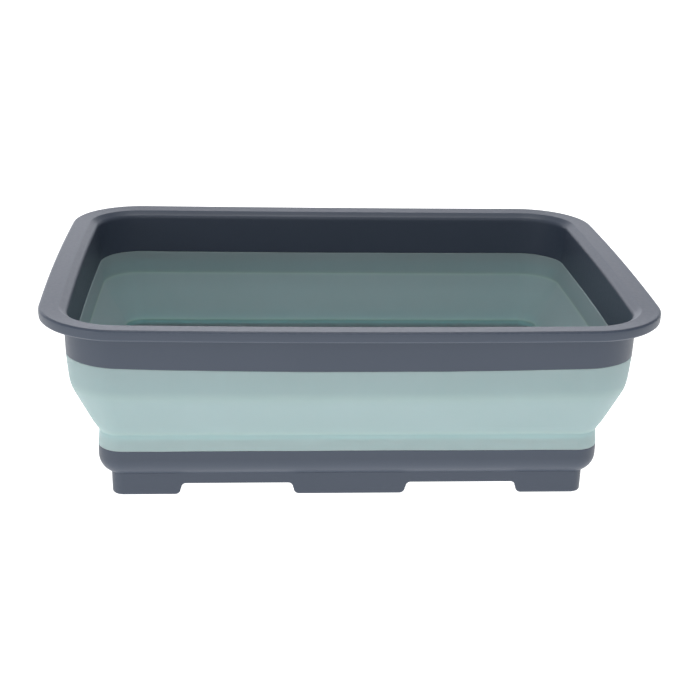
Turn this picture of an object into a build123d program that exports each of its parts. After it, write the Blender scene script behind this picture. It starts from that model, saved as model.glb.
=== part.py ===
from build123d import *
import os

# Collapsible storage crate: a hard rim and a hard base, joined by a soft wall that folds.
# Every ring of it is one profile carried round a rounded rectangle. A profile's first number is
# its inset, the distance inside the straight outline through the rim's corners, and its second
# is its height. Sizes are in millimetres. The feet stand on Z = 0, and the object is centred on
# X = Y = 0.

# Driving dimensions
LENGTH = 380.0  # rim, along X, at mid side
WIDTH = 290.0  # rim, along Y, at mid side
HEIGHT = 123.0  # feet to the flange's top, wall unfolded
CORNER = 46.0  # plan radius of the rim's corners
RIM_BOW = 3.0  # how far the middles of the rim's sides stand out
GAP = 0.3  # clearance between rings that slide past each other

# Rim
LIP_BOTTOM = 116.6
LIP_THICK = 2.0
FLANGE_THICK = 2.2
EDGE_RADIUS = 1.5
SHOULDER = 10.4  # inset where the flat flange ends and its inner rounding begins
SHOULDER_RADIUS = 6.8
UNDER_RADIUS = 3.4
COLLAR_BOTTOM = 93.0
COLLAR_INSET = 15.0  # outer face of the collar's bottom edge
COLLAR_THICK = 2.8
COLLAR_DRAFT = 0.7
TONGUE_THICK = 1.0  # hard tongue inside the soft wall
TONGUE_LENGTH = 7.0

# Soft wall
WALL = 3.0
CREST_START = (16.4, 78.0)  # where the upper band begins to turn into the fold
CREST_MIDDLE = (16.85, 75.2)
FOLD_TOP = 73.3  # height of the upper fold line
FOLD_TOP_INSET = 17.0
FOLD_BOTTOM = 45.2  # height of the lower fold line
FOLD_BOTTOM_INSET = 30.5
FOLD_UPRIGHT = 6.4  # the sloping band's thickness, measured straight up
FOLD_RINGS = 4
UPPER_TIP_INSET = 19.4  # where the upper band ends and the fold rings begin
LOWER_WALL_INSET = 30.6  # outer face of the lower band's foot
GROOVE_INSET = 31.3  # the small groove below the lower fold line
GROOVE_HEIGHT = 42.0

# Base
TRAY_TOP = 33.0
TRAY_WALL = 2.6
TRAY_RADIUS = 14.0  # rounding of the tray's outer bottom edge
TRAY_ROUND_TOP = 27.6
TRAY_ROUND_INSET = 30.9
TRAY_FLOOR_INSET = 41.5  # where the rounded edge meets the flat floor
SKIRT_INSET = 38.2
SKIRT_THICK = 2.6
SKIRT_DRAFT = 0.2
SKIRT_EDGE = 1.4
NOTCH_LENGTH = 72.0
NOTCH_HEIGHT = 7.6
NOTCH_CENTRE = 71.0  # from the middle of a long side
NOTCH_RADIUS = 3.0
FOOT_RADIUS = 3.5

os.makedirs("parts", exist_ok=True)


def outline(inset, bow):
    """The plan at an inset, its sides standing out by bow at their middles."""
    x = LENGTH / 2 - RIM_BOW - inset
    y = WIDTH / 2 - RIM_BOW - inset
    with BuildSketch() as plan:
        with BuildLine():
            if bow > 0:
                ThreePointArc((x, -y), (x + bow, 0), (x, y))
                ThreePointArc((x, y), (0, y + bow), (-x, y))
                ThreePointArc((-x, y), (-x - bow, 0), (-x, -y))
                ThreePointArc((-x, -y), (0, -y - bow), (x, -y))
            else:
                Polyline((x, -y), (x, y), (-x, y), (-x, -y), close=True)
        make_face()
        fillet(plan.vertices(), CORNER - inset)
    return plan.sketch


def profile_plane(path):
    """The upright plane across the start of a path, with X inwards and Y up."""
    inwards = Vector(0, 0, 1).cross(path % 0)
    return Plane(origin=path @ 0, x_dir=inwards, z_dir=inwards.cross(Vector(0, 0, 1)))


def fold_height(inset):
    """Height of the sloping band's outer face at an inset."""
    slope = (FOLD_TOP - FOLD_BOTTOM) / (FOLD_BOTTOM_INSET - FOLD_TOP_INSET)
    return FOLD_TOP - (inset - FOLD_TOP_INSET) * slope


def tray_height(inset, radius):
    """Height at an inset of an arc round the centre of the tray's bottom rounding."""
    across = TRAY_ROUND_INSET + TRAY_RADIUS - inset
    return TRAY_ROUND_TOP - (radius**2 - across**2) ** 0.5


rim_path = outline(0, RIM_BOW).wire()
base_path = outline(0, 0).wire()

# Top rim: flat flange, turned-down lip, rounded shoulder, collar, and the tongue that the soft
# wall is moulded onto.
collar_inner = COLLAR_INSET + COLLAR_THICK
shoulder_inner = SHOULDER + SHOULDER_RADIUS
under_inset = COLLAR_INSET - COLLAR_DRAFT
under_height = HEIGHT - FLANGE_THICK
tongue_out = COLLAR_INSET + (COLLAR_THICK - TONGUE_THICK) / 2
tongue_in = tongue_out + TONGUE_THICK
tongue_end = COLLAR_BOTTOM - TONGUE_LENGTH
tongue_lean = 0.75
with BuildPart() as top_rim:
    with BuildSketch(profile_plane(rim_path)):
        with BuildLine():
            Line((0, LIP_BOTTOM), (0, HEIGHT - EDGE_RADIUS))
            TangentArc((0, HEIGHT - EDGE_RADIUS), (EDGE_RADIUS, HEIGHT), tangent=(0, 1))
            Line((EDGE_RADIUS, HEIGHT), (SHOULDER, HEIGHT))
            TangentArc((SHOULDER, HEIGHT), (shoulder_inner, HEIGHT - SHOULDER_RADIUS), tangent=(1, 0))
            Polyline(
                (shoulder_inner, HEIGHT - SHOULDER_RADIUS),
                (collar_inner, COLLAR_BOTTOM),
                (tongue_in, COLLAR_BOTTOM),
                (tongue_in + tongue_lean, tongue_end),
                (tongue_out + tongue_lean, tongue_end),
                (tongue_out, COLLAR_BOTTOM),
                (COLLAR_INSET, COLLAR_BOTTOM),
                (under_inset, under_height - UNDER_RADIUS),
            )
            TangentArc(
                (under_inset, under_height - UNDER_RADIUS),
                (under_inset - UNDER_RADIUS, under_height),
                tangent=(0, 1),
            )
            Polyline(
                (under_inset - UNDER_RADIUS, under_height),
                (LIP_THICK, under_height),
                (LIP_THICK, LIP_BOTTOM),
                (0, LIP_BOTTOM),
            )
        make_face()
    sweep(path=rim_path)
top_rim.part.label = "top_rim"
export_step(top_rim.part, "parts/top_rim.step")

# Upper band of the soft wall: it leans inwards below the collar and turns into the fold.
crest_end = FOLD_TOP_INSET + 0.6
with BuildPart() as upper_wall_band:
    with BuildSketch(profile_plane(rim_path)):
        with BuildLine():
            Line((COLLAR_INSET, COLLAR_BOTTOM), CREST_START)
            ThreePointArc(CREST_START, CREST_MIDDLE, (crest_end, fold_height(crest_end)))
            Polyline(
                (crest_end, fold_height(crest_end)),
                (UPPER_TIP_INSET, fold_height(UPPER_TIP_INSET)),
                (UPPER_TIP_INSET, fold_height(UPPER_TIP_INSET) + FOLD_UPRIGHT),
                (collar_inner, COLLAR_BOTTOM),
                (tongue_in, COLLAR_BOTTOM),
                (tongue_in + tongue_lean, tongue_end),
                (tongue_out + tongue_lean, tongue_end),
                (tongue_out, COLLAR_BOTTOM),
                (COLLAR_INSET, COLLAR_BOTTOM),
            )
        make_face()
    sweep(path=rim_path)
upper_wall_band.part.label = "upper_wall_band"
export_step(upper_wall_band.part, "parts/upper_wall_band.step")

# Sloping band of the soft wall, cut by upright faces into rings that step down one by one as
# the wall folds. The rim's bow fades out from ring to ring, because the base is straight.
ring_start = UPPER_TIP_INSET + GAP
ring_pitch = (LOWER_WALL_INSET - ring_start) / FOLD_RINGS
for number in range(1, FOLD_RINGS + 1):
    outer = ring_start + (number - 1) * ring_pitch
    inner = outer + ring_pitch - GAP
    ring_path = outline(0, RIM_BOW * (1 - number / (FOLD_RINGS + 1))).wire()
    with BuildPart() as fold_ring:
        with BuildSketch(profile_plane(ring_path)):
            with BuildLine():
                Polyline(
                    (outer, fold_height(outer)),
                    (inner, fold_height(inner)),
                    (inner, fold_height(inner) + FOLD_UPRIGHT),
                    (outer, fold_height(outer) + FOLD_UPRIGHT),
                    close=True,
                )
            make_face()
        sweep(path=ring_path)
    fold_ring.part.label = f"fold_ring_{number}"
    export_step(fold_ring.part, f"parts/fold_ring_{number}.step")

# Lower band of the soft wall, upright above the base, with a small groove at the fold line.
tray_inner = LOWER_WALL_INSET + TRAY_WALL
root_out = LOWER_WALL_INSET + (TRAY_WALL - TONGUE_THICK) / 2
root_in = root_out + TONGUE_THICK
root_end = TRAY_TOP + TONGUE_LENGTH
root_lean = 0.45
band_inner = LOWER_WALL_INSET + WALL
with BuildPart() as lower_wall_band:
    with BuildSketch(profile_plane(base_path)):
        with BuildLine():
            TangentArc(
                (LOWER_WALL_INSET, TRAY_TOP),
                (GROOVE_INSET, GROOVE_HEIGHT),
                tangent=(0, 1),
            )
            Polyline(
                (GROOVE_INSET, GROOVE_HEIGHT),
                (LOWER_WALL_INSET, fold_height(LOWER_WALL_INSET)),
                (LOWER_WALL_INSET, fold_height(LOWER_WALL_INSET) + FOLD_UPRIGHT),
                (band_inner, fold_height(band_inner) + FOLD_UPRIGHT),
                (tray_inner, TRAY_TOP),
                (root_in, TRAY_TOP),
                (root_in + root_lean, root_end),
                (root_out + root_lean, root_end),
                (root_out, TRAY_TOP),
                (LOWER_WALL_INSET, TRAY_TOP),
            )
        make_face()
    sweep(path=base_path)
lower_wall_band.part.label = "lower_wall_band"
export_step(lower_wall_band.part, "parts/lower_wall_band.step")

# Base tray: flat floor, rounded edge, short wall, and the tongue inside the lower band.
inner_radius = TRAY_RADIUS - TRAY_WALL
floor_bottom = tray_height(TRAY_FLOOR_INSET, TRAY_RADIUS)
floor_top = tray_height(TRAY_FLOOR_INSET, inner_radius)
with BuildPart() as base_tray:
    with BuildSketch(profile_plane(base_path)):
        with BuildLine():
            Line((LOWER_WALL_INSET, TRAY_TOP), (TRAY_ROUND_INSET, TRAY_ROUND_TOP))
            TangentArc(
                (TRAY_ROUND_INSET, TRAY_ROUND_TOP),
                (TRAY_FLOOR_INSET, floor_bottom),
                tangent=(0, -1),
            )
            Line((TRAY_FLOOR_INSET, floor_bottom), (TRAY_FLOOR_INSET, floor_top))
            TangentArc(
                (TRAY_ROUND_INSET + TRAY_WALL, TRAY_ROUND_TOP),
                (TRAY_FLOOR_INSET, floor_top),
                tangent=(0, -1),
            )
            Polyline(
                (TRAY_ROUND_INSET + TRAY_WALL, TRAY_ROUND_TOP),
                (tray_inner, TRAY_TOP),
                (root_in, TRAY_TOP),
                (root_in + root_lean, root_end),
                (root_out + root_lean, root_end),
                (root_out, TRAY_TOP),
                (LOWER_WALL_INSET, TRAY_TOP),
            )
        make_face()
    sweep(path=base_path)
    with BuildSketch(Plane.XY.offset(floor_bottom)):
        add(outline(TRAY_FLOOR_INSET, 0))
    extrude(amount=floor_top - floor_bottom)
base_tray.part.label = "base_tray"
export_step(base_tray.part, "parts/base_tray.step")

# Notch between two feet, drawn upright: rounded at its top, flared at the feet's corners.
half_notch = NOTCH_LENGTH / 2
with BuildSketch() as notch:
    with BuildLine():
        Polyline((0, -FOOT_RADIUS), (half_notch + FOOT_RADIUS, -FOOT_RADIUS), (half_notch + FOOT_RADIUS, 0))
        TangentArc((half_notch + FOOT_RADIUS, 0), (half_notch, FOOT_RADIUS), tangent=(-1, 0))
        Line((half_notch, FOOT_RADIUS), (half_notch, NOTCH_HEIGHT - NOTCH_RADIUS))
        TangentArc(
            (half_notch, NOTCH_HEIGHT - NOTCH_RADIUS),
            (half_notch - NOTCH_RADIUS, NOTCH_HEIGHT),
            tangent=(0, 1),
        )
        Line((half_notch - NOTCH_RADIUS, NOTCH_HEIGHT), (0, NOTCH_HEIGHT))
        mirror(about=Plane.YZ)
    make_face()

# Foot skirt: a thin upright ring under the tray, notched so that it stands on feet.
skirt_inner = SKIRT_INSET + SKIRT_THICK
skirt_foot = SKIRT_INSET + SKIRT_DRAFT
skirt_middle = (SKIRT_INSET + skirt_inner) / 2
with BuildPart() as foot_skirt:
    with BuildSketch(profile_plane(base_path)):
        with BuildLine():
            Line((SKIRT_INSET, tray_height(SKIRT_INSET, TRAY_RADIUS)), (skirt_foot, SKIRT_EDGE))
            TangentArc((skirt_foot, SKIRT_EDGE), (skirt_foot + SKIRT_EDGE, 0), tangent=(0, -1))
            Polyline(
                (skirt_foot + SKIRT_EDGE, 0),
                (skirt_inner, 0),
                (skirt_inner, tray_height(skirt_inner, TRAY_RADIUS)),
            )
            ThreePointArc(
                (skirt_inner, tray_height(skirt_inner, TRAY_RADIUS)),
                (skirt_middle, tray_height(skirt_middle, TRAY_RADIUS)),
                (SKIRT_INSET, tray_height(SKIRT_INSET, TRAY_RADIUS)),
            )
        make_face()
    sweep(path=base_path)
    with BuildSketch(Plane.XZ):
        with Locations((-NOTCH_CENTRE, 0), (NOTCH_CENTRE, 0)):
            add(notch.sketch)
    extrude(amount=WIDTH / 2, both=True, mode=Mode.SUBTRACT)
    with BuildSketch(Plane.YZ):
        add(notch.sketch)
    extrude(amount=LENGTH / 2, both=True, mode=Mode.SUBTRACT)
foot_skirt.part.label = "foot_skirt"
export_step(foot_skirt.part, "parts/foot_skirt.step")
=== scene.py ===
"""Collapsible storage crate: hard rim, folding rubber wall and hard base, built round the CAD frame."""

import logging
import math
from collections.abc import Sequence
from dataclasses import dataclass, field
from enum import Enum

import bpy
import numpy as np
from mathutils import Matrix, Vector


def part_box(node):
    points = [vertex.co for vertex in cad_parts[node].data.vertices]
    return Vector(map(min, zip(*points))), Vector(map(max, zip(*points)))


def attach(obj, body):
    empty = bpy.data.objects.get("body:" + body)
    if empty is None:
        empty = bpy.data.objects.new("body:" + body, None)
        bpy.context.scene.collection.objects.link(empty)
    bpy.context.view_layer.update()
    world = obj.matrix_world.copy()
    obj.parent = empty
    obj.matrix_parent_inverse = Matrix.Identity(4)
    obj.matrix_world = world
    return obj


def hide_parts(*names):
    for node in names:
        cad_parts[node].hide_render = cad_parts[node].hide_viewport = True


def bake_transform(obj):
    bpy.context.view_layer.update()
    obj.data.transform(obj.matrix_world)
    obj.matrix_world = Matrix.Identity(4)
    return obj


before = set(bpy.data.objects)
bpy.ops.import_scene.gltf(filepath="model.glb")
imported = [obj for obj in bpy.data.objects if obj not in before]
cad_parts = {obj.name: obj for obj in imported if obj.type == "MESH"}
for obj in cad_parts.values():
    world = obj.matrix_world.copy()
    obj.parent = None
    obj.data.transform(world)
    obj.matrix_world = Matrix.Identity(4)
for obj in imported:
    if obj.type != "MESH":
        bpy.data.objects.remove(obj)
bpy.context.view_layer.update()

MM = 0.001
ARC_STEP = math.radians(9)  # how far a profile's arc turns between two points
LONE_RUN = 0.98  # share of a run that its only arc may take up
SHARED_RUN = 0.49  # share of a run that each of its two arcs may take up
SEAM_RADIUS = 0.25  # rounding of the edges that meet at a seam, in millimetres
CAD_BOW = 3.0 * MM  # how far the CAD rim's sides stand out from its corners
WHITE = (1.0, 1.0, 1.0, 1.0)
log = logging.getLogger("crate")
Corner = tuple[float, float, float]


class Body(Enum):
    """The CAD bodies that pieces ride on."""

    BASE = "base"
    RIM = "rim"


class Slot(Enum):
    """The record's material slots."""

    RIM = "rim_plastic"
    WALL = "wall_rubber"
    BASE = "base_plastic"


# ---------------------------------------------------------------------------------------------
# Plan and profiles
# ---------------------------------------------------------------------------------------------


@dataclass(frozen=True)
class Loop:
    """Stations round the plan: a ring at an inset is anchor + (corner - inset) * outward."""

    anchor: np.ndarray
    outward: np.ndarray
    lap: np.ndarray

    @property
    def count(self) -> int:
        """How many stations the loop has."""
        return len(self.lap)


@dataclass(frozen=True)
class Plan:
    """The straight rounded rectangle through the rim's corners, which every ring is an offset of.

    Sizes are in metres. Insets are measured inwards from this outline.
    """

    half_x: float
    half_y: float
    corner: float = 46.0 * MM
    bow_short: float = 3.4 * MM
    bow_long: float = 1.7 * MM
    sag_long: float = 1.0 * MM
    corner_steps: int = 22
    side_steps: int = 44

    def loop(self, along_x: np.ndarray | None = None, along_y: np.ndarray | None = None) -> Loop:
        """Stations round the outline, anticlockwise from the front end of the right side.

        A side's anchors lie on the line between two corner centres and all point straight out. A
        corner's anchors are its centre, and point out at angles spread over a quarter turn.

        Args:
            along_x: places of the stations on the long sides, from the middle, or None for even.
            along_y: the same for the short sides.

        Returns:
            The loop, with each station's share of a lap.
        """
        reach_x, reach_y = self.half_x - self.corner, self.half_y - self.corner
        if along_x is None:
            along_x = np.linspace(-reach_x, reach_x, self.side_steps + 1)[1:-1]
        if along_y is None:
            along_y = np.linspace(-reach_y, reach_y, self.side_steps * 3 // 4 + 1)[1:-1]
        turn = np.linspace(0, math.pi / 2, self.corner_steps + 1)
        anchors, outwards = [], []
        for quarter in range(4):
            angle = quarter * math.pi / 2
            spin = np.array([[math.cos(angle), -math.sin(angle)], [math.sin(angle), math.cos(angle)]])
            short = quarter % 2 == 0
            side, out, reach = (along_y, reach_x, reach_y) if short else (along_x, reach_y, reach_x)
            line = np.stack([np.full(len(side), out), side], axis=1)
            centre = np.tile([out, reach], (len(turn), 1))
            fan = np.stack([np.cos(turn), np.sin(turn)], axis=1)
            anchors.append(np.concatenate([line, centre]) @ spin.T)
            outwards.append(np.concatenate([np.tile([1.0, 0.0], (len(side), 1)), fan]) @ spin.T)
        anchor, outward = np.concatenate(anchors), np.concatenate(outwards)
        edge = anchor + self.corner * outward
        step = np.linalg.norm(np.roll(edge, -1, axis=0) - edge, axis=1)
        lap = np.concatenate([[0.0], np.cumsum(step)[:-1]]) / step.sum()
        return Loop(anchor, outward, lap)

    def rings(self, loop: Loop, inset: np.ndarray, height: np.ndarray, bow: np.ndarray) -> np.ndarray:
        """Points of the rings at some insets and heights.

        Each point is its anchor plus what is left of the corner radius along its outward
        direction. Then x grows by bow_short * (x / half_x) * (1 - (y / half_y)^2), and y in the same
        way, so that the middle of each side stands out and the corners stay. The long sides also
        drop by sag_long * (1 - (x / half_x)^2) * (y / half_y)^2.

        Args:
            loop: the stations.
            inset: one inset per ring.
            height: one height per ring and station.
            bow: each ring's share of the bow and the sag, from 0 to 1.

        Returns:
            An array of rings by stations by 3.
        """
        flat = loop.anchor[None] + (self.corner - inset)[:, None, None] * loop.outward[None]
        across, deep = flat[..., 0] / self.half_x, flat[..., 1] / self.half_y
        share = bow[:, None]
        x = flat[..., 0] + share * self.bow_short * across * (1 - deep**2)
        y = flat[..., 1] + share * self.bow_long * deep * (1 - across**2)
        z = height - share * self.sag_long * (1 - across**2) * deep**2
        return np.stack([x, y, z], axis=-1)


def rounded(corners: Sequence[Corner], closed: bool = True, step: float = 1.4) -> np.ndarray:
    """A profile through corners, each turned by an arc that touches both of its runs.

    The arc at a corner starts radius * tan(turn / 2) before it. Straight runs are divided so that
    no piece is longer than step, which keeps the shading of flat faces flat.

    Args:
        corners: (inset, height, radius) of each corner, in millimetres.
        closed: whether the last corner joins the first.
        step: longest piece of a straight run, in millimetres.

    Returns:
        The profile's points as (inset, height) in metres.
    """
    place = np.array([c[:2] for c in corners], float)
    count = len(corners)
    ends: list[np.ndarray] = []
    for i, (_, _, radius) in enumerate(corners):
        here = place[i]
        if not closed and i in (0, count - 1) or radius <= 0:
            ends.append(here[None])
            continue
        before, after = place[i - 1] - here, place[(i + 1) % count] - here
        long_before, long_after = np.linalg.norm(before), np.linalg.norm(after)
        before, after = before / long_before, after / long_after
        half = math.acos(float(np.clip(before @ after, -1, 1))) / 2
        room_before = LONE_RUN if corners[i - 1][2] <= 0 else SHARED_RUN
        room_after = LONE_RUN if corners[(i + 1) % count][2] <= 0 else SHARED_RUN
        back = min(radius / math.tan(half), room_before * long_before, room_after * long_after)
        middle = before + after
        centre = here + middle / np.linalg.norm(middle) * back / math.cos(half)
        start, stop = here + before * back - centre, here + after * back - centre
        swing = math.atan2(start[0] * stop[1] - start[1] * stop[0], float(start @ stop))
        angle = np.linspace(0, swing, max(3, int(abs(swing) / ARC_STEP) + 2))[:, None]
        side = np.array([-start[1], start[0]])
        ends.append(centre + np.cos(angle) * start + np.sin(angle) * side)
    points: list[np.ndarray] = []
    for i, arc in enumerate(ends):
        points.append(arc)
        if not closed and i == count - 1:
            continue
        run = ends[(i + 1) % count][0] - arc[-1]
        pieces = int(np.linalg.norm(run) / step) + 1
        points.append(arc[-1] + run * (np.arange(1, pieces) / pieces)[:, None])
    return np.concatenate(points) * MM


def edge_wear_and_highlight(profile: np.ndarray, closed: bool = True) -> np.ndarray:
    """How sharply a profile turns at each point, from 0 on a flat to 1 on a tight outside edge. The
    plastic's finish draws it lighter, as edge wear and painted highlight.

    The turn is the angle between the runs before and after a point over their mean length. It is
    counted where it bends away from the material, and 1 stands for a 1 mm radius.

    Args:
        profile: points as (inset, height) in metres.
        closed: whether the profile's ends meet, in which case its area says which side is inside.

    Returns:
        One value per point.
    """
    before = profile - np.roll(profile, 1, axis=0)
    after = np.roll(profile, -1, axis=0) - profile
    cross = before[:, 0] * after[:, 1] - before[:, 1] * after[:, 0]
    turn = np.arctan2(cross, (before * after).sum(axis=1))
    length = (np.linalg.norm(before, axis=1) + np.linalg.norm(after, axis=1)) / 2
    nxt = np.roll(profile, -1, axis=0)
    area = (profile[:, 0] * nxt[:, 1] - nxt[:, 0] * profile[:, 1]).sum()
    wear_and_highlight = np.clip(np.sign(area) * turn / np.maximum(length, 1e-6) * MM, 0, 1)
    if not closed:
        wear_and_highlight[[0, -1]] = 0
    return wear_and_highlight


# ---------------------------------------------------------------------------------------------
# Meshes
# ---------------------------------------------------------------------------------------------


def outward_faces(points: np.ndarray, faces: np.ndarray) -> np.ndarray:
    """Faces turned so that they point out of a closed mesh.

    The sum of the signed volumes between the origin and each triangle is positive where faces
    point outwards, so a negative sum turns every face round.
    """
    a, b, c = (points[faces[:, k]] for k in (0, 1, 2))
    volume = np.einsum("ij,ij->", a, np.cross(b, c))
    if faces.shape[1] == 4:
        volume += np.einsum("ij,ij->", a, np.cross(c, points[faces[:, 3]]))
    return faces if volume > 0 else faces[:, ::-1]


def make_object(
    name: str, points: np.ndarray, faces: np.ndarray, marks: dict[str, np.ndarray]
) -> bpy.types.Object:
    """A smooth-shaded mesh object with its place in its mesh.

    Args:
        name: the piece's name.
        points: vertices, in metres.
        faces: quads, where a triangle repeats its last vertex.
        marks: point attributes by name.

    Returns:
        The object, linked to the scene.
    """
    turned = outward_faces(points, faces)
    polygons = [tuple(dict.fromkeys(face)) for face in turned.tolist()]
    mesh = bpy.data.meshes.new(name)
    mesh.from_pydata(points.tolist(), [], polygons)
    mesh.polygons.foreach_set("use_smooth", np.ones(len(mesh.polygons), bool))
    for label, values in marks.items():
        mark = mesh.attributes.new(label, "FLOAT", "POINT")
        mark.data.foreach_set("value", values.astype(np.float32))
    mesh.update()
    made = bpy.data.objects.new(name, mesh)
    bpy.context.scene.collection.objects.link(made)
    log.info("%s: %d vertices, %d faces", name, len(mesh.vertices), len(mesh.polygons))
    return made


def ring_faces(rings: int, stations: int, closed: bool) -> np.ndarray:
    """Quads between neighbouring rings, and between the last and the first if closed."""
    i = np.arange(rings if closed else rings - 1)[:, None]
    j = np.arange(stations)[None]
    a, b = i * stations + j, (i + 1) % rings * stations + j
    c, d = (i + 1) % rings * stations + (j + 1) % stations, i * stations + (j + 1) % stations
    return np.stack([a, b, c, d], axis=-1).reshape(-1, 4)


# ---------------------------------------------------------------------------------------------
# Sizes that every moulding shares
# ---------------------------------------------------------------------------------------------


@dataclass(frozen=True)
class Levels:
    """Heights and insets read from the frame, in millimetres."""

    plan: Plan
    top: float
    collar_bottom: float
    tongue_end: float
    tray_top: float
    root_end: float
    floor_bottom: float

    @classmethod
    def from_frame(cls) -> "Levels":
        """Reads the CAD nodes' boxes."""
        low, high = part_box("top_rim")
        half_x, half_y = (high[0] - low[0]) / 2 - CAD_BOW, (high[1] - low[1]) / 2 - CAD_BOW
        tray_low, tray_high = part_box("base_tray")
        return cls(
            plan=Plan(half_x, half_y),
            top=high[2] / MM,
            collar_bottom=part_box("upper_wall_band")[1][2] / MM,
            tongue_end=low[2] / MM,
            tray_top=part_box("lower_wall_band")[0][2] / MM,
            root_end=tray_high[2] / MM,
            floor_bottom=tray_low[2] / MM,
        )


@dataclass(frozen=True)
class Seams:
    """The lines where soft wall meets hard plastic, which wander slightly as an overmoulding does."""

    collar: float
    tray: float
    wander: float = 0.16 * MM
    spread: float = 2.2 * MM
    corner_rise: float = 2.3 * MM
    middle_drop: float = 0.4 * MM
    rise_spread: float = 7.0 * MM
    outer_face: float = 16.0 * MM
    inner_face: float = 17.8 * MM
    waves: tuple[tuple[float, float, float], ...] = ((5.0, 0.4, 1.0), (13.0, 2.1, 0.7), (29.0, 4.0, 0.4))

    def lift(self, plan: Plan, loop: Loop, profile: np.ndarray) -> np.ndarray:
        """How far each point rises or drops.

        Three sine waves round the loop, each with its number of turns, phase and strength, are
        added, and the sum fades with distance from a seam as exp(-(distance / spread)^2). The
        collar's seam also rises on the outside towards each corner, by
        corner_rise * (x * y / (half_x * half_y))^2 - middle_drop, and that fades in the same way
        with distance and to nothing at the inner face. Both pieces at a seam use this, so they stay
        in touch.

        Args:
            plan: the outline that the loop is on.
            loop: the stations.
            profile: points as (inset, height), in metres.

        Returns:
            An array of rings by stations.
        """
        inset, height = profile[:, 0], profile[:, 1]
        lap = 2 * math.pi * loop.lap
        wave = sum(strength * np.sin(turns * lap + phase) for turns, phase, strength in self.waves)
        highest = sum(strength for _, _, strength in self.waves)
        near = sum(np.exp(-(((height - seam) / self.spread) ** 2)) for seam in (self.collar, self.tray))
        edge = loop.anchor + plan.corner * loop.outward
        corner = (edge[:, 0] * edge[:, 1] / (plan.half_x * plan.half_y)) ** 2
        outer = np.clip((self.inner_face - inset) / (self.inner_face - self.outer_face), 0, 1)
        wide = outer * np.exp(-(((height - self.collar) / self.rise_spread) ** 2))
        rise = self.corner_rise * corner - self.middle_drop
        return self.wander * near[:, None] * wave[None] / highest + wide[:, None] * rise[None]


@dataclass(frozen=True)
class Tongue:
    """A thin hard tongue inside the soft wall, and the groove that it fills."""

    outer: float
    thick: float = 1.0
    lean: float = 0.75
    tip_radius: float = 0.2

    def corners(self, seam: float, end: float) -> list[Corner]:
        """The tongue's four corners from its outer root round to its inner root."""
        inner = self.outer + self.thick
        return [
            (self.outer, seam, 0.0),
            (self.outer + self.lean, end, self.tip_radius),
            (inner + self.lean, end, self.tip_radius),
            (inner, seam, 0.0),
        ]


@dataclass(frozen=True)
class Collar:
    """The rim's collar where the soft wall hangs from it. Sizes are in millimetres."""

    outer: float = 14.7
    thick: float = 3.1
    inner_seam_drop: float = 1.6
    tongue: Tongue = Tongue(15.9)

    @property
    def inner(self) -> float:
        """Inset of the collar's inner face."""
        return self.outer + self.thick


@dataclass(frozen=True)
class Root:
    """The tray's upright wall where the soft wall stands on it. Sizes are in millimetres."""

    outer: float = 30.6
    thick: float = 2.6
    tongue: Tongue = Tongue(31.4, lean=0.45)

    @property
    def inner(self) -> float:
        """Inset of the wall's inner face."""
        return self.outer + self.thick


# ---------------------------------------------------------------------------------------------
# Finishes
# ---------------------------------------------------------------------------------------------


def linear(code: str) -> tuple[float, float, float, float]:
    """An sRGB hex colour as linear red, green, blue and alpha."""
    parts = [int(code[i : i + 2], 16) / 255 for i in (1, 3, 5)]
    made = [p / 12.92 if p <= 0.04045 else ((p + 0.055) / 1.055) ** 2.4 for p in parts]
    return (*made, 1.0)


def add(tree: bpy.types.NodeTree, kind: str, inputs: dict | None = None, **settings) -> bpy.types.Node:
    """Adds a node with its settings, and fills or links its inputs."""
    made = tree.nodes.new(kind)
    for key, value in settings.items():
        setattr(made, key, value)
    for key, value in (inputs or {}).items():
        if isinstance(value, bpy.types.NodeSocket):
            tree.links.new(value, made.inputs[key])
        else:
            made.inputs[key].default_value = value
    return made


def per_metre(size_mm: float) -> float:
    """The texture scale that gives features of a size in millimetres."""
    return 1000 / size_mm


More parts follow.
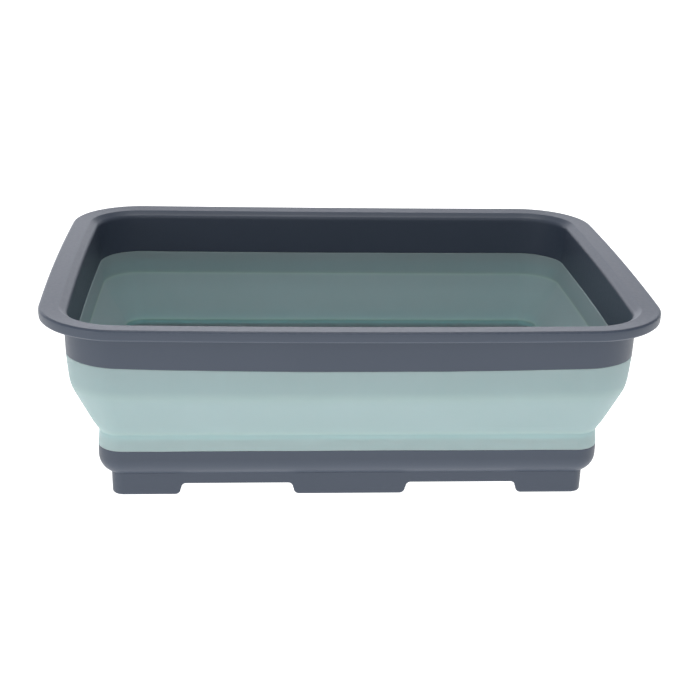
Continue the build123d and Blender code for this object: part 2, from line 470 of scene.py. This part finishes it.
@dataclass(frozen=True)
class MouldedPolypropylene:
    """Satin injection-moulded polypropylene.

    The tool's spark-eroded skin gives a soft broad gloss with a fine grain. The colour clouds
    slightly where the melt flowed, and outside edges are drawn a little lighter, as rubbed wear and painted
    highlight.
    """

    name: str
    colour: str = "#3d4756"
    cloud_colour: str = "#424b5a"
    # lighter colour of outside edges: rubbed wear and painted highlight
    rubbed_and_highlight_colour: str = "#5b6371"
    roughness: float = 0.44
    grain_mm: float = 0.55  # real grain is about 0.1 mm, drawn coarser so that it shows
    cloud_mm: float = 45.0
    scuff_mm: float = 2.5
    scuff_range: tuple[float, float] = (0.35, 0.7)
    rub_and_highlight_range: tuple[float, float] = (0.1, 0.5)
    duller: float = 0.07
    glossier: float = 0.05
    relief: float = 0.22
    relief_mm: float = 0.05
    ior: float = 1.49

    def build(self) -> bpy.types.Material:
        """Makes the node material."""
        made = bpy.data.materials.new(self.name)
        made.use_nodes = True
        tree = made.node_tree
        shader = tree.nodes["Principled BSDF"]
        place = add(tree, "ShaderNodeTexCoord").outputs["Object"]
        cloud, scuff, grain = (
            add(tree, "ShaderNodeTexNoise", {"Vector": place, "Scale": per_metre(size), "Detail": detail})
            for size, detail in ((self.cloud_mm, 3.0), (self.scuff_mm, 4.0), (self.grain_mm, 2.0))
        )
        clouded = add(
            tree,
            "ShaderNodeMix",
            {"Factor": cloud.outputs["Fac"], "A": linear(self.colour), "B": linear(self.cloud_colour)},
            data_type="RGBA",
        )
        # Outside edges are drawn lighter, partly as rubbed wear and partly as painted highlight.
        edge = add(tree, "ShaderNodeAttribute", attribute_name="wear_and_highlight")
        rubbing_and_highlight = add(
            tree,
            "ShaderNodeMapRange",
            {
                "Value": scuff.outputs["Fac"],
                "From Min": self.scuff_range[0],
                "From Max": self.scuff_range[1],
                "To Min": self.rub_and_highlight_range[0],
                "To Max": self.rub_and_highlight_range[1],
            },
        )
        worn_and_highlighted = add(
            tree,
            "ShaderNodeMath",
            {0: edge.outputs["Fac"], 1: rubbing_and_highlight.outputs["Result"]},
            operation="MULTIPLY",
            use_clamp=True,
        )
        colour = add(
            tree,
            "ShaderNodeMix",
            {"Factor": worn_and_highlighted.outputs[0], "A": clouded.outputs["Result"], "B": linear(self.rubbed_and_highlight_colour)},
            data_type="RGBA",
        )
        gloss = add(
            tree,
            "ShaderNodeMapRange",
            {
                "Value": scuff.outputs["Fac"],
                "To Min": self.roughness - self.glossier,
                "To Max": self.roughness + self.duller,
            },
        )
        relief = add(
            tree,
            "ShaderNodeBump",
            {"Strength": self.relief, "Distance": self.relief_mm * MM, "Height": grain.outputs["Fac"]},
        )
        tree.links.new(colour.outputs["Result"], shader.inputs["Base Color"])
        tree.links.new(gloss.outputs["Result"], shader.inputs["Roughness"])
        tree.links.new(relief.outputs["Normal"], shader.inputs["Normal"])
        shader.inputs["IOR"].default_value = self.ior
        return made


@dataclass(frozen=True)
class MouldedRubber:
    """Matt thermoplastic rubber, moulded and slightly translucent.

    Light spreads a little under its skin, its sheen is dull and even, the colour clouds gently,
    and the fold lines are drawn lighter, as stretched rubber and painted highlight. The lower band
    is drawn paler, as painted light from the floor below.
    """

    name: str
    colour: str = "#97adad"
    cloud_colour: str = "#9cb1b3"
    # painted highlight along the fold lines, also standing for stretched rubber
    stretch_highlight_colour: str = "#a2b8b3"
    # painted light: the lower band drawn paler for the floor's bounce light
    painted_low_light_colour: str = "#a9c5c5"
    roughness: float = 0.6
    grain_mm: float = 0.8  # real grain is about 0.15 mm, drawn coarser so that it shows
    cloud_mm: float = 60.0
    duller: float = 0.06
    glossier: float = 0.04
    relief: float = 0.18
    relief_mm: float = 0.05
    ior: float = 1.48
    spread: float = 0.8
    spread_radius: tuple[float, float, float] = (0.85, 1.0, 1.0)
    spread_mm: float = 4.6

    def build(self) -> bpy.types.Material:
        """Makes the node material."""
        made = bpy.data.materials.new(self.name)
        made.use_nodes = True
        tree = made.node_tree
        shader = tree.nodes["Principled BSDF"]
        place = add(tree, "ShaderNodeTexCoord").outputs["Object"]
        cloud, grain = (
            add(tree, "ShaderNodeTexNoise", {"Vector": place, "Scale": per_metre(size), "Detail": detail})
            for size, detail in ((self.cloud_mm, 3.0), (self.grain_mm, 2.0))
        )
        clouded = add(
            tree,
            "ShaderNodeMix",
            {"Factor": cloud.outputs["Fac"], "A": linear(self.colour), "B": linear(self.cloud_colour)},
            data_type="RGBA",
        )
        # Painted light: the band below the lower fold is drawn paler, for light from the floor.
        painted_low_light = add(tree, "ShaderNodeAttribute", attribute_name="painted_low_light")
        pale = add(
            tree,
            "ShaderNodeMix",
            {"Factor": painted_low_light.outputs["Fac"], "A": clouded.outputs["Result"], "B": linear(self.painted_low_light_colour)},
            data_type="RGBA",
        )
        # Fold lines are drawn lighter: stretched rubber and painted highlight.
        fold = add(tree, "ShaderNodeAttribute", attribute_name="stretch_and_highlight")
        colour = add(
            tree,
            "ShaderNodeMix",
            {"Factor": fold.outputs["Fac"], "A": pale.outputs["Result"], "B": linear(self.stretch_highlight_colour)},
            data_type="RGBA",
        )
        gloss = add(
            tree,
            "ShaderNodeMapRange",
            {
                "Value": cloud.outputs["Fac"],
                "To Min": self.roughness - self.glossier,
                "To Max": self.roughness + self.duller,
            },
        )
        relief = add(
            tree,
            "ShaderNodeBump",
            {"Strength": self.relief, "Distance": self.relief_mm * MM, "Height": grain.outputs["Fac"]},
        )
        tree.links.new(colour.outputs["Result"], shader.inputs["Base Color"])
        tree.links.new(gloss.outputs["Result"], shader.inputs["Roughness"])
        tree.links.new(relief.outputs["Normal"], shader.inputs["Normal"])
        shader.inputs["IOR"].default_value = self.ior
        shader.inputs["Subsurface Weight"].default_value = self.spread
        shader.inputs["Subsurface Radius"].default_value = self.spread_radius
        shader.inputs["Subsurface Scale"].default_value = self.spread_mm * MM
        return made


@dataclass(frozen=True)
class StudioFloor:
    """Plain floor that gives off white light, as a lit product table does, so that nothing shades it.

    It is clear from below, so that the crate's underside can be looked at.
    """

    glow: float = 1.4
    colour: str = "#606060"
    roughness: float = 0.9

    def build(self) -> bpy.types.Material:
        """Makes the material."""
        made = bpy.data.materials.new("studio_floor")
        made.use_nodes = True
        tree = made.node_tree
        shader = tree.nodes["Principled BSDF"]
        shader.inputs["Base Color"].default_value = linear(self.colour)
        shader.inputs["Roughness"].default_value = self.roughness
        shader.inputs["Specular IOR Level"].default_value = 0.0
        shader.inputs["Emission Color"].default_value = WHITE
        shader.inputs["Emission Strength"].default_value = self.glow
        below = add(tree, "ShaderNodeNewGeometry").outputs["Backfacing"]
        clear = add(tree, "ShaderNodeBsdfTransparent")
        shaders = {0: below, 1: shader.outputs["BSDF"], 2: clear.outputs["BSDF"]}
        mixed = add(tree, "ShaderNodeMixShader", shaders)
        tree.links.new(mixed.outputs["Shader"], tree.nodes["Material Output"].inputs["Surface"])
        return made


# ---------------------------------------------------------------------------------------------
# Mouldings
# ---------------------------------------------------------------------------------------------


@dataclass(frozen=True)
class Rim:
    """The hard top ring: flange, turned-down lip, rounded shoulder, collar and hidden tongue.

    Sizes are in millimetres.
    """

    levels: Levels
    seams: Seams
    overhang: float = 0.4
    lip_drop: float = 6.9
    lip_thick: float = 2.0
    lip_chamfer: float = 0.9
    flange_thick: float = 2.2
    edge_radius: float = 1.9
    crease: Corner = (11.6, 0.9, 1.2)
    level_sides: float = 0.4
    shoulder: Corner = (16.6, 3.7, 3.6)
    draft: float = 0.7
    under_radius: float = 3.4
    lip_lean: float = 0.2
    lip_foot_radius: float = 0.4
    lip_turn_radius: float = 0.5
    bulge_drop: float = 3.2
    bulge_radius: float = 9.0
    top_lean: float = 0.1
    hollow_radius: float = 0.8
    under_margin: float = 0.1
    collar: Collar = Collar()

    def profile(self) -> np.ndarray:
        """The closed profile, from the lip's lower outer edge up and over, and back under."""
        top, seam = self.levels.top, self.levels.collar_bottom
        lip, under = top - self.lip_drop, top - self.flange_thick
        corners = [
            (self.lip_lean + self.lip_chamfer - self.overhang, lip, self.lip_foot_radius),
            (self.lip_lean - self.overhang, lip + self.lip_chamfer, self.lip_turn_radius),
            (-self.overhang, top - self.bulge_drop, self.bulge_radius),
            (self.top_lean - self.overhang, top, self.edge_radius),
            *((inset, top - drop, radius) for inset, drop, radius in (self.crease, self.shoulder)),
            (self.collar.inner, seam - self.collar.inner_seam_drop, SEAM_RADIUS),
            *reversed(self.collar.tongue.corners(seam, self.levels.tongue_end)),
            (self.collar.outer, seam, SEAM_RADIUS),
            (self.collar.outer - self.draft, under, self.under_radius),
            (self.lip_thick, under, self.hollow_radius),
            (self.lip_thick, lip, self.hollow_radius),
        ]
        return rounded(corners)

    def levelling(self, loop: Loop, profile: np.ndarray) -> np.ndarray:
        """How far each point rises to make the short sides' flange level, in metres.

        The crease rises by level_sides * outward_x^2, and the rise falls evenly to nothing at the
        flange's outer edge and at the shoulder. Points under the flange stay.

        Args:
            loop: the stations.
            profile: points as (inset, height), in metres.

        Returns:
            An array of rings by stations.
        """
        places = np.array([self.edge_radius, self.crease[0], self.shoulder[0]]) * MM
        share = np.interp(profile[:, 0], places, [0.0, 1.0, 0.0])
        above = profile[:, 1] > (self.levels.top - self.flange_thick + self.under_margin) * MM
        return (share * above)[:, None] * (self.level_sides * MM * loop.outward[:, 0] ** 2)[None]

    def build(self, finish: bpy.types.Material) -> bpy.types.Object:
        """Makes the rim and puts it on its body."""
        profile = self.profile()
        loop = self.levels.plan.loop()
        inset, height = profile[:, 0], profile[:, 1]
        whole = np.ones(len(profile))
        rise = self.seams.lift(self.levels.plan, loop, profile) + self.levelling(loop, profile)
        points = self.levels.plan.rings(loop, inset, height[:, None] + rise, whole)
        # The edge mark lightens outside edges: rubbed wear and painted highlight.
        marks = {"wear_and_highlight": np.repeat(edge_wear_and_highlight(profile), loop.count)}
        faces = ring_faces(len(profile), loop.count, closed=True)
        made = make_object("rim", points.reshape(-1, 3), faces, marks)
        made.data.materials.append(finish)
        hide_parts("top_rim")
        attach(made, Body.RIM.value)
        return made


@dataclass(frozen=True)
class FoldingWall:
    """The soft wall: upper band, sloping fold band and lower band, moulded in one.

    Sizes are in millimetres. hinge_outer and hinge_inner bound the part of the wall that turns over
    as the crate folds; this script builds the wall unfolded and doesn't bend it.
    """

    levels: Levels
    seams: Seams
    groove_inset: float = 31.4
    groove_lean: float = 0.05
    groove_height: float = 43.3
    groove_radius: float = 0.7
    hollow_lean: float = 0.32
    hollow_height: float = 39.0
    hollow_radius: float = 40.0
    band_lean: float = 0.7
    band_drop: float = 7.6
    band_radius: float = 60.0
    fold_top: tuple[float, float] = (16.5, 74.2)
    fold_middle: tuple[float, float] = (22.95, 60.2)
    belly: tuple[float, float] = (27.75, 49.8)
    fold_bottom: tuple[float, float] = (30.52, 45.0)
    fold_top_radius: float = 26.0
    middle_radius: float = 90.0
    belly_radius: float = 24.0
    fold_bottom_radius: float = 0.55
    upright: float = 6.4
    inner_middle_lean: float = 0.1
    hinge_outer: float = 19.4
    hinge_inner: float = 30.5
    bow_end: float = 17.0
    inner_fold: tuple[float, float] = (19.3, 76.3)
    inner_fold_radius: float = 2.2
    inner_foot_fold: tuple[float, float] = (33.55, 43.6)
    inner_foot_radius: float = 1.4
    # reach and strength of the painted highlight along the fold lines
    stretch_highlight_reach: float = 1.3
    stretch_highlight_strength: tuple[float, ...] = (1.0, 0.5, 1.0, 1.0)
    # how far the lower band's painted light fades in, in millimetres
    painted_low_light_fade: float = 2.5
    eased: float = 0.25
    step: float = 1.1
    collar: Collar = Collar()
    root: Root = Root()

    def profile(self) -> np.ndarray:
        """The closed profile, down the outside, round the base's tongue and up the inside."""
        seam, foot = self.levels.collar_bottom, self.levels.tray_top
        middle_x, middle_z = self.fold_middle
        corners = [
            (self.collar.outer, seam, SEAM_RADIUS),
            (self.collar.outer + self.band_lean, seam - self.band_drop, self.band_radius),
            (*self.fold_top, self.fold_top_radius),
            (middle_x, middle_z, self.middle_radius),
            (*self.belly, self.belly_radius),
            (*self.fold_bottom, self.fold_bottom_radius),
            (self.groove_inset + self.groove_lean, self.groove_height, self.groove_radius),
            (self.groove_inset - self.hollow_lean, self.hollow_height, self.hollow_radius),
            (self.root.outer, foot, SEAM_RADIUS),
            *self.root.tongue.corners(foot, self.levels.root_end),
            (self.root.inner, foot, SEAM_RADIUS),
            (*self.inner_foot_fold, self.inner_foot_radius),
            (middle_x + self.inner_middle_lean, middle_z + self.upright, self.middle_radius),
            (*self.inner_fold, self.inner_fold_radius),
            (self.collar.inner, seam - self.collar.inner_seam_drop, SEAM_RADIUS),
            *reversed(self.collar.tongue.corners(seam, self.levels.tongue_end)),
        ]
        return rounded(corners, step=self.step)

    def share(self, inset: np.ndarray) -> np.ndarray:
        """The rim's share of the motion: 1 up to the outer hinge, 0 from the inner one on.

        It depends on the inset alone, so that the wall's two faces move together and keep the
        thickness between them when the band has turned over. A share of it, eased, is smoothed
        towards both ends and the rest is even.

        Args:
            inset: insets in metres.

        Returns:
            One share per inset.
        """
        t = np.clip((self.hinge_inner * MM - inset) / ((self.hinge_inner - self.hinge_outer) * MM), 0, 1)
        return (1 - self.eased) * t + self.eased * t * t * (3 - 2 * t)

    def stretch_and_highlight(self, profile: np.ndarray) -> np.ndarray:
        """Where the two fold lines are drawn lighter, as stretched rubber and painted highlight, from 0 to
        1.

        It is exp(-(distance / stretch_highlight_reach)^2) from each fold line's corner on both faces, times
        that line's stretch_highlight_strength. The outer lower line is weakest, because it folds least.

        Args:
            profile: points as (inset, height), in metres.

        Returns:
            One value per point.
        """
        lines = np.array([self.fold_top, self.fold_bottom, self.inner_fold, self.inner_foot_fold]) * MM
        gap = np.linalg.norm(profile[:, None] - lines[None], axis=2)
        strength = np.array(self.stretch_highlight_strength)
        return (strength * np.exp(-((gap / (self.stretch_highlight_reach * MM)) ** 2))).max(axis=1)

    def build(self, finish: bpy.types.Material) -> bpy.types.Object:
        """Makes the wall between the rim and the base."""
        profile = self.profile()
        loop = self.levels.plan.loop()
        inset, height = profile[:, 0], profile[:, 1]
        fade = np.clip((self.hinge_inner * MM - inset) / ((self.hinge_inner - self.bow_end) * MM), 0, 1)
        points = self.levels.plan.rings(
            loop, inset, height[:, None] + self.seams.lift(self.levels.plan, loop, profile), fade
        )
        # Painted light from the floor: paler below the lower fold line.
        painted_low_light = np.clip((self.fold_bottom[1] * MM - height) / (self.painted_low_light_fade * MM), 0, 1)
        # The fold lines' mark is a painted highlight, also standing for stretched rubber.
        marks = {
            "stretch_and_highlight": np.repeat(self.stretch_and_highlight(profile), loop.count),
            "painted_low_light": np.repeat(painted_low_light, loop.count),
        }
        faces = ring_faces(len(profile), loop.count, closed=True)
        made = make_object("folding_wall", points.reshape(-1, 3), faces, marks)
        made.data.materials.append(finish)
        rings = sorted(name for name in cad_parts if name.startswith("fold_ring_"))
        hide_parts("upper_wall_band", *rings, "lower_wall_band")
        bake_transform(made)
        return made


@dataclass(frozen=True)
class Tray:
    """The hard base's tray: flat floor, rounded edge, short wall and hidden tongue.

    Sizes are in millimetres.
    """

    levels: Levels
    seams: Seams
    radius: float = 12.5
    turn_z: float = 17.6
    turn_end: float = 39.0
    straight: float = 31.6
    inner_radius: float = 11.0
    floor_thick: float = 2.7
    under_lift: float = 0.7
    under_end: float = 44.9
    floor_end: float = 44.8
    inner_lean: float = 0.3
    root: Root = Root()
    shrink: tuple[float, ...] = (0.985, 0.95, 0.85, 0.7, 0.5, 0.3, 0.12)

    def profile(self) -> np.ndarray:
        """The open profile, from under the floor out, up, over the tongue and in to the floor."""
        seam, under = self.levels.tray_top, self.levels.floor_bottom + self.under_lift
        floor = self.levels.floor_bottom + self.floor_thick
        corners = [
            (self.under_end, under, 0.0),
            (self.turn_end, under, 0.0),
            (self.root.outer, self.turn_z, self.radius),
            (self.root.outer, self.straight, 0.0),
            (self.root.outer, seam, SEAM_RADIUS),
            *self.root.tongue.corners(seam, self.levels.root_end),
            (self.root.inner, seam, SEAM_RADIUS),
            (self.root.inner + self.inner_lean, floor, self.inner_radius),
            (self.floor_end, floor, 0.0),
        ]
        return rounded(corners, closed=False)

    def build(self, finish: bpy.types.Material) -> bpy.types.Object:
        """Makes the tray, its floors closed by shrinking rings and a fan round the centre."""
        profile = self.profile()
        loop = self.levels.plan.loop()
        inset, height = profile[:, 0], profile[:, 1]
        none = np.zeros(len(profile))
        rise = self.seams.lift(self.levels.plan, loop, profile)
        wall = self.levels.plan.rings(loop, inset, height[:, None] + rise, none)
        factor = np.array([[s, s, 1.0] for s in self.shrink])[:, None]
        under, floor = wall[0][None] * factor, wall[-1][None] * factor
        rings = np.concatenate([under[::-1], wall, floor])
        count = len(rings)
        points = np.concatenate([rings.reshape(-1, 3), [[0, 0, height[0]], [0, 0, height[-1]]]])
        around = np.arange(loop.count)
        after = (around + 1) % loop.count
        first, last = np.full(loop.count, count * loop.count), np.full(loop.count, count * loop.count + 1)
        fan_under = np.stack([around, after, first, first], axis=1)
        start = (count - 1) * loop.count
        fan_floor = np.stack([start + after, start + around, last, last], axis=1)
        faces = np.concatenate([ring_faces(count, loop.count, closed=False), fan_under, fan_floor])
        flat = np.zeros(len(self.shrink))
        # The edge mark lightens outside edges: rubbed wear and painted highlight.
        wear_and_highlight = np.concatenate([flat, edge_wear_and_highlight(profile, closed=False), flat])
        marks = {"wear_and_highlight": np.concatenate([np.repeat(wear_and_highlight, loop.count), [0.0, 0.0]])}
        made = make_object("base_tray_shell", points, faces, marks)
        made.data.materials.append(finish)
        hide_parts("base_tray")
        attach(made, Body.BASE.value)
        return made


@dataclass(frozen=True)
class FootSkirt:
    """The hard base's thin skirt, notched between its feet. Sizes are in millimetres."""

    levels: Levels
    outer: float = 38.2
    thick: float = 2.6
    draft: float = 0.25
    edge: float = 1.3
    notch_length: float = 70.2
    notch_height: float = 7.6
    notch_centre: float = 70.5
    notch_radius: float = 3.0
    foot_radius: float = 3.5
    slant: float = 0.5
    bury: float = 1.7
    inner_edge: float = 0.5
    arc_points: int = 9
    even_steps: int = 60
    clearance: float = 0.6
    beyond: float = 1.0

    def notch_side(self) -> tuple[np.ndarray, np.ndarray]:
        """One side of a notch, from the foot's sole up to the notch's top.

        A quarter circle turns up from the sole, a short slanting run follows, and a quarter
        circle turns over to the top.

        Returns:
            Places from the notch's middle, falling, and the heights there.
        """
        angle = np.linspace(0, math.pi / 2, self.arc_points)
        half = self.notch_length / 2
        foot_x = half + self.slant / 2 + self.foot_radius * (1 - np.sin(angle))
        foot_z = self.foot_radius * (1 - np.cos(angle))
        top_x = half - self.slant / 2 - self.notch_radius * (1 - np.cos(angle))
        top_z = self.notch_height - self.notch_radius * (1 - np.sin(angle))
        return np.concatenate([foot_x, top_x]), np.concatenate([foot_z, top_z])

    def side(self, reach: float, centres: Sequence[float]) -> tuple[np.ndarray, np.ndarray]:
        """Stations along one side and the height of the skirt's lower edge at each.

        Args:
            reach: half the side's straight length, in millimetres.
            centres: the middles of the side's notches.

        Returns:
            Places from the side's middle, rising, and heights, in metres.
        """
        away, rise = self.notch_side()
        places = [-reach - self.beyond, reach + self.beyond]
        heights = [0.0, 0.0]
        for centre in centres:
            places += [*(centre - away), *(centre + away)]
            heights += [*rise, *rise]
        order = np.argsort(places)
        knots, lifts = np.array(places)[order], np.array(heights)[order]
        even = np.linspace(-reach, reach, self.even_steps)[1:-1]
        gap = np.abs(even[:, None] - knots[None]).min(axis=1)
        stations = np.sort(np.concatenate([even[gap > self.clearance], knots[np.abs(knots) < reach]]))
        return stations * MM, np.interp(stations, knots, lifts) * MM

    def build(self, finish: bpy.types.Material) -> bpy.types.Object:
        """Makes the skirt as a closed ring whose lower edge follows the notches."""
        plan = self.levels.plan
        reach_x, reach_y = (plan.half_x - plan.corner) / MM, (plan.half_y - plan.corner) / MM
        along_x, lift_x = self.side(reach_x, (-self.notch_centre, self.notch_centre))
        along_y, lift_y = self.side(reach_y, (0.0,))
        loop = plan.loop(along_x, along_y)
        corner = np.zeros(plan.corner_steps + 1)
        lift = np.concatenate([part for side in (lift_y, lift_x) * 2 for part in (side, corner)])
        under = self.levels.floor_bottom
        inner = self.outer + self.thick
        corners = [
            (self.outer, under + self.bury, 0.0),
            (self.outer + self.draft, 0.0, self.edge),
            (inner - self.draft / 2, 0.0, self.inner_edge),
            (inner, under + self.bury, 0.0),
        ]
        profile = rounded(corners)
        inset, height = profile[:, 0], profile[:, 1]
        top = (under + self.bury) * MM
        rise = height[:, None] + lift[None] * np.clip((top - height) / top, 0, 1)[:, None]
        points = plan.rings(loop, inset, rise, np.zeros(len(profile)))
        # The edge mark lightens outside edges: rubbed wear and painted highlight.
        marks = {"wear_and_highlight": np.repeat(edge_wear_and_highlight(profile), loop.count)}
        faces = ring_faces(len(profile), loop.count, closed=True)
        made = make_object("foot_skirt_shell", points.reshape(-1, 3), faces, marks)
        made.data.materials.append(finish)
        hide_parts("foot_skirt")
        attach(made, Body.BASE.value)
        return made


# ---------------------------------------------------------------------------------------------
# Studio
# ---------------------------------------------------------------------------------------------


@dataclass(frozen=True)
class Studio:
    """Glowing floor, soft light from all round and the camera. Sizes are in metres."""

    azimuth: float = -4.43
    elevation: float = 20.04
    roll: float = 1.56
    distance: float = 0.9943
    lens: float = 74.67
    target: tuple[float, float, float] = (0.006, 0.0, 0.0587)
    front_sky: float = 0.4
    back_sky: float = 2.05
    right_share: float = 0.55
    low_range: tuple[float, float] = (0.3, 0.6)
    behind_range: tuple[float, float] = (0.4, 0.95)
    right_range: tuple[float, float] = (0.1, 0.55)
    tint: tuple[float, float, float, float] = (0.98, 0.99, 1.05, 1.0)
    top_size: float = 0.7
    top_height: float = 1.5
    top_power: float = 7.0
    front_size: float = 0.5
    front_power: float = 1.5
    front_place: tuple[float, float, float] = (0.0, -1.25, 0.65)
    side_size: float = 0.5
    side_power: float = 1.4
    side_place: tuple[float, float, float] = (-0.85, -0.75, 0.13)
    floor_half: float = 60.0
    sensor: float = 36.0
    clip_start: float = 0.05

    def floor(self) -> None:
        """A flat white sheet under the feet."""
        h = self.floor_half
        points = np.array([[-h, -h, 0], [h, -h, 0], [h, h, 0], [-h, h, 0]], float)
        mesh = bpy.data.meshes.new("floor")
        mesh.from_pydata(points.tolist(), [], [(0, 1, 2, 3)])
        made = bpy.data.objects.new("floor", mesh)
        bpy.context.scene.collection.objects.link(made)
        mesh.materials.append(StudioFloor().build())

    def light(self) -> None:
        """A soft white tent that is brightest low down behind, and three softboxes.

        The tent's strength is front_sky everywhere, plus back_sky times a smooth fall with
        height and a smooth rise from front to back, and all of it falls to right_share on the right.
        """
        world = bpy.data.worlds.new("tent")
        bpy.context.scene.world = world
        world.use_nodes = True
        tree = world.node_tree
        place = add(tree, "ShaderNodeTexCoord").outputs["Generated"]
        axes = add(tree, "ShaderNodeSeparateXYZ", {"Vector": place}).outputs
        smooth = {"interpolation_type": "SMOOTHSTEP"}
        low, behind, right = (
            {"Value": axes[axis], "From Min": start, "From Max": end}
            for axis, (start, end) in (
                ("Z", self.low_range),
                ("Y", self.behind_range),
                ("X", self.right_range),
            )
        )
        low |= {"To Min": self.back_sky, "To Max": 0.0}
        right |= {"To Min": 1.0, "To Max": self.right_share}
        fall = add(tree, "ShaderNodeMapRange", low, **smooth).outputs["Result"]
        rise = add(tree, "ShaderNodeMapRange", behind, **smooth).outputs["Result"]
        total = add(
            tree,
            "ShaderNodeMath",
            {0: fall, 1: rise, 2: self.front_sky},
            operation="MULTIPLY_ADD",
        )
        dimmed = add(tree, "ShaderNodeMapRange", right, **smooth).outputs["Result"]
        strength = add(tree, "ShaderNodeMath", {0: total.outputs[0], 1: dimmed}, operation="MULTIPLY")
        background = tree.nodes["Background"]
        background.inputs["Color"].default_value = self.tint
        tree.links.new(strength.outputs[0], background.inputs["Strength"])
        self.softbox("top_softbox", (0.0, 0.0, self.top_height), self.top_size, self.top_power)
        self.softbox("front_softbox", self.front_place, self.front_size, self.front_power)
        self.softbox("side_softbox", self.side_place, self.side_size, self.side_power)

    def softbox(self, name: str, place: tuple[float, float, float], size: float, power: float) -> None:
        """A square area light that faces the crate's middle.

        Args:
            name: the light's name.
            place: where it stands, in metres.
            size: its side, in metres.
            power: its power, in watts.
        """
        lamp = bpy.data.lights.new(name, "AREA")
        lamp.shape = "SQUARE"
        lamp.size = size
        lamp.energy = power
        made = bpy.data.objects.new(name, lamp)
        made.location = place
        made.rotation_euler = (Vector(place) - Vector(self.target)).to_track_quat("Z", "Y").to_euler()
        made.visible_camera = False
        bpy.context.scene.collection.objects.link(made)

    def camera(self) -> None:
        """The camera, turned about its own axis by the roll."""
        a, e, r = (math.radians(v) for v in (self.azimuth, self.elevation, self.roll))
        back = Vector((math.sin(a) * math.cos(e), -math.cos(a) * math.cos(e), math.sin(e)))
        level = Vector((0, 0, 1)).cross(back).normalized()
        upright = back.cross(level)
        right = level * math.cos(r) + upright * math.sin(r)
        up = upright * math.cos(r) - level * math.sin(r)
        data = bpy.data.cameras.new("camera")
        data.lens = self.lens
        data.sensor_width = self.sensor
        data.clip_start = self.clip_start
        made = bpy.data.objects.new("camera", data)
        bpy.context.scene.collection.objects.link(made)
        turned = Matrix((right, up, back)).transposed().to_4x4()
        made.matrix_world = Matrix.Translation(Vector(self.target) + back * self.distance) @ turned
        bpy.context.scene.camera = made

    def build(self) -> None:
        """Sets the whole studio up."""
        self.floor()
        self.light()
        self.camera()
        bpy.context.scene.view_settings.view_transform = "Standard"


@dataclass
class Crate:
    """The whole crate: its mouldings in the order that they are made."""

    levels: Levels = field(default_factory=Levels.from_frame)

    def build(self) -> None:
        """Makes every moulding and gives it its finish."""
        levels = self.levels
        seams = Seams(levels.collar_bottom * MM, levels.tray_top * MM)
        plastic = MouldedPolypropylene("moulded_polypropylene_slate").build()
        rubber = MouldedRubber("moulded_rubber_sage").build()
        Rim(levels, seams).build(plastic)
        FoldingWall(levels, seams).build(rubber)
        Tray(levels, seams).build(plastic)
        FootSkirt(levels).build(plastic)


def main() -> None:
    """Builds the crate and the studio."""
    logging.basicConfig(level=logging.INFO, format="%(name)s %(message)s")
    Crate().build()
    Studio().build()
    bpy.context.view_layer.update()


if __name__ == "__main__":
    main()
